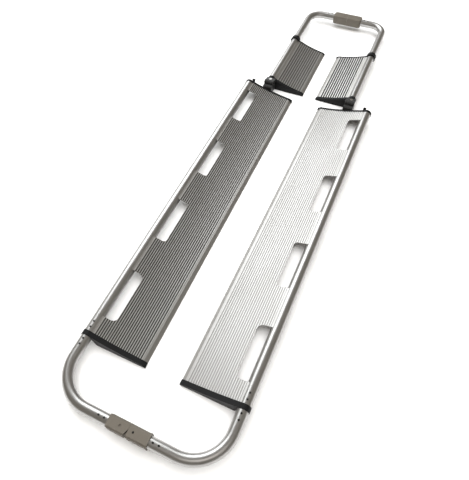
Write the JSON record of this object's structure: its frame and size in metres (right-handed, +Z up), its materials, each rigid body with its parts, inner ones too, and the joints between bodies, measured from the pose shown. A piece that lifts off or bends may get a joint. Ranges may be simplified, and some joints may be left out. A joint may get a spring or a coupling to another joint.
{
  "type": "folding scoop stretcher",
  "caption": "Folding aluminium scoop stretcher with two ribbed deck halves, hand holes, a telescoping folding leg section and end couplings.",
  "frame": {"origin": "on the ground, under the middle of the closed stretcher at its shortest length", "axes": "+Y towards the foot end, +Z up, +X to the half that swings open"},
  "size_m": [0.43, 1.667, 0.048],
  "materials": {
    "tube_aluminium": "satin anodised tube",
    "deck_aluminium": "satin anodised ribbed extrusion",
    "inner_aluminium": "plain drawn tube",
    "black_plastic": "moulded, fine grain",
    "lock_black": "moulded",
    "hinge_grey": "cast and powder coated, dark grey",
    "coupling_grey": "matte taupe-grey coating on a casting",
    "pin_steel": "turned",
    "bright_screw": "polished socket screw",
    "dark_fastener": "dark passivated",
    "spring_steel": "drawn wire",
    "bush_plastic": "low-friction moulding"
  },
  "bodies": {
    "left_half": {"left_side_rail": "tube_aluminium", "left_deck_panel": "deck_aluminium", "left_head_cap": "black_plastic", "left_far_cap": "black_plastic", "left_lock_cover": "black_plastic", "left_lock_cover_screws": "dark_fastener", "left_lock_spring": "spring_steel", "left_head_joiner": "inner_aluminium", "left_head_loop": "tube_aluminium", "left_rail_rivets": "dark_fastener", "left_head_coupling_rivets": "dark_fastener", "head_coupling_left": "coupling_grey", "head_pivot_pin": "dark_fastener"},
    "right_half": {"right_side_rail": "tube_aluminium", "right_deck_panel": "deck_aluminium", "right_head_cap": "black_plastic", "right_far_cap": "black_plastic", "right_lock_cover": "black_plastic", "right_lock_cover_screws": "dark_fastener", "right_lock_spring": "spring_steel", "right_head_joiner": "inner_aluminium", "right_head_loop": "tube_aluminium", "right_rail_rivets": "dark_fastener", "right_head_coupling_rivets": "dark_fastener", "head_coupling_right": "coupling_grey"},
    "left_slide": {"left_slide_tube": "inner_aluminium", "left_slide_bush": "bush_plastic", "left_hinge_fork": "hinge_grey", "left_fork_cross_pin": "pin_steel", "left_hinge_pin": "pin_steel"},
    "right_slide": {"right_slide_tube": "inner_aluminium", "right_slide_bush": "bush_plastic", "right_hinge_fork": "hinge_grey", "right_fork_cross_pin": "pin_steel", "right_hinge_pin": "pin_steel"},
    "left_leg": {"left_hinge_knuckle": "hinge_grey", "left_knuckle_screw": "bright_screw", "left_leg_deck": "deck_aluminium", "left_leg_near_cap": "black_plastic", "left_leg_far_cap": "black_plastic", "left_foot_loop": "tube_aluminium", "left_foot_coupling_rivets": "dark_fastener", "foot_coupling_left": "coupling_grey", "foot_button_spring": "spring_steel"},
    "right_leg": {"right_hinge_knuckle": "hinge_grey", "right_knuckle_screw": "bright_screw", "right_leg_deck": "deck_aluminium", "right_leg_near_cap": "black_plastic", "right_leg_far_cap": "black_plastic", "right_foot_loop": "tube_aluminium", "right_foot_coupling_rivets": "dark_fastener", "foot_coupling_right": "coupling_grey"},
    "left_lock": {"left_lock_slide": "lock_black"},
    "right_lock": {"right_lock_slide": "lock_black"},
    "foot_button": {"foot_latch_plunger": "pin_steel", "foot_release_button": "coupling_grey"}
  },
  "joints": [
    {"name": "halves_swing", "type": "hinge", "parent": "left_half", "child": "right_half", "pos_m": [0.012, -0.817, 0.032], "axis": [0, 0, -1], "range_deg": [0, 20]},
    {"name": "left_slide_out", "type": "slide", "parent": "left_half", "child": "left_slide", "axis": [0, 1, 0], "range_m": [0, 0.343]},
    {"name": "right_slide_out", "type": "slide", "parent": "right_half", "child": "right_slide", "axis": [0, 1, 0], "range_m": [0, 0.343]},
    {"name": "left_leg_fold", "type": "hinge", "parent": "left_slide", "child": "left_leg", "pos_m": [0, 0.352, 0.04], "axis": [1, 0, 0], "range_deg": [0, 178]},
    {"name": "right_leg_fold", "type": "hinge", "parent": "right_slide", "child": "right_leg", "pos_m": [0, 0.352, 0.04], "axis": [1, 0, 0], "range_deg": [0, 178]},
    {"name": "left_lock_pull", "type": "slide", "parent": "left_half", "child": "left_lock", "axis": [-1, 0, 0], "range_m": [0, 0.005], "stiffness_N_per_m": 300, "deforming": ["left_lock_spring"]},
    {"name": "right_lock_pull", "type": "slide", "parent": "right_half", "child": "right_lock", "axis": [1, 0, 0], "range_m": [0, 0.005], "stiffness_N_per_m": 300, "deforming": ["right_lock_spring"]},
    {"name": "foot_button_press", "type": "slide", "parent": "left_leg", "child": "foot_button", "axis": [0, 0, -1], "range_m": [0, 0.007], "stiffness_N_per_m": 500, "deforming": ["foot_button_spring"]}
  ],
  "couplings": [
    {"joint": "right_slide_out", "follows": "left_slide_out", "ratio": 1},
    {"joint": "right_leg_fold", "follows": "left_leg_fold", "ratio": 1}
  ]
}
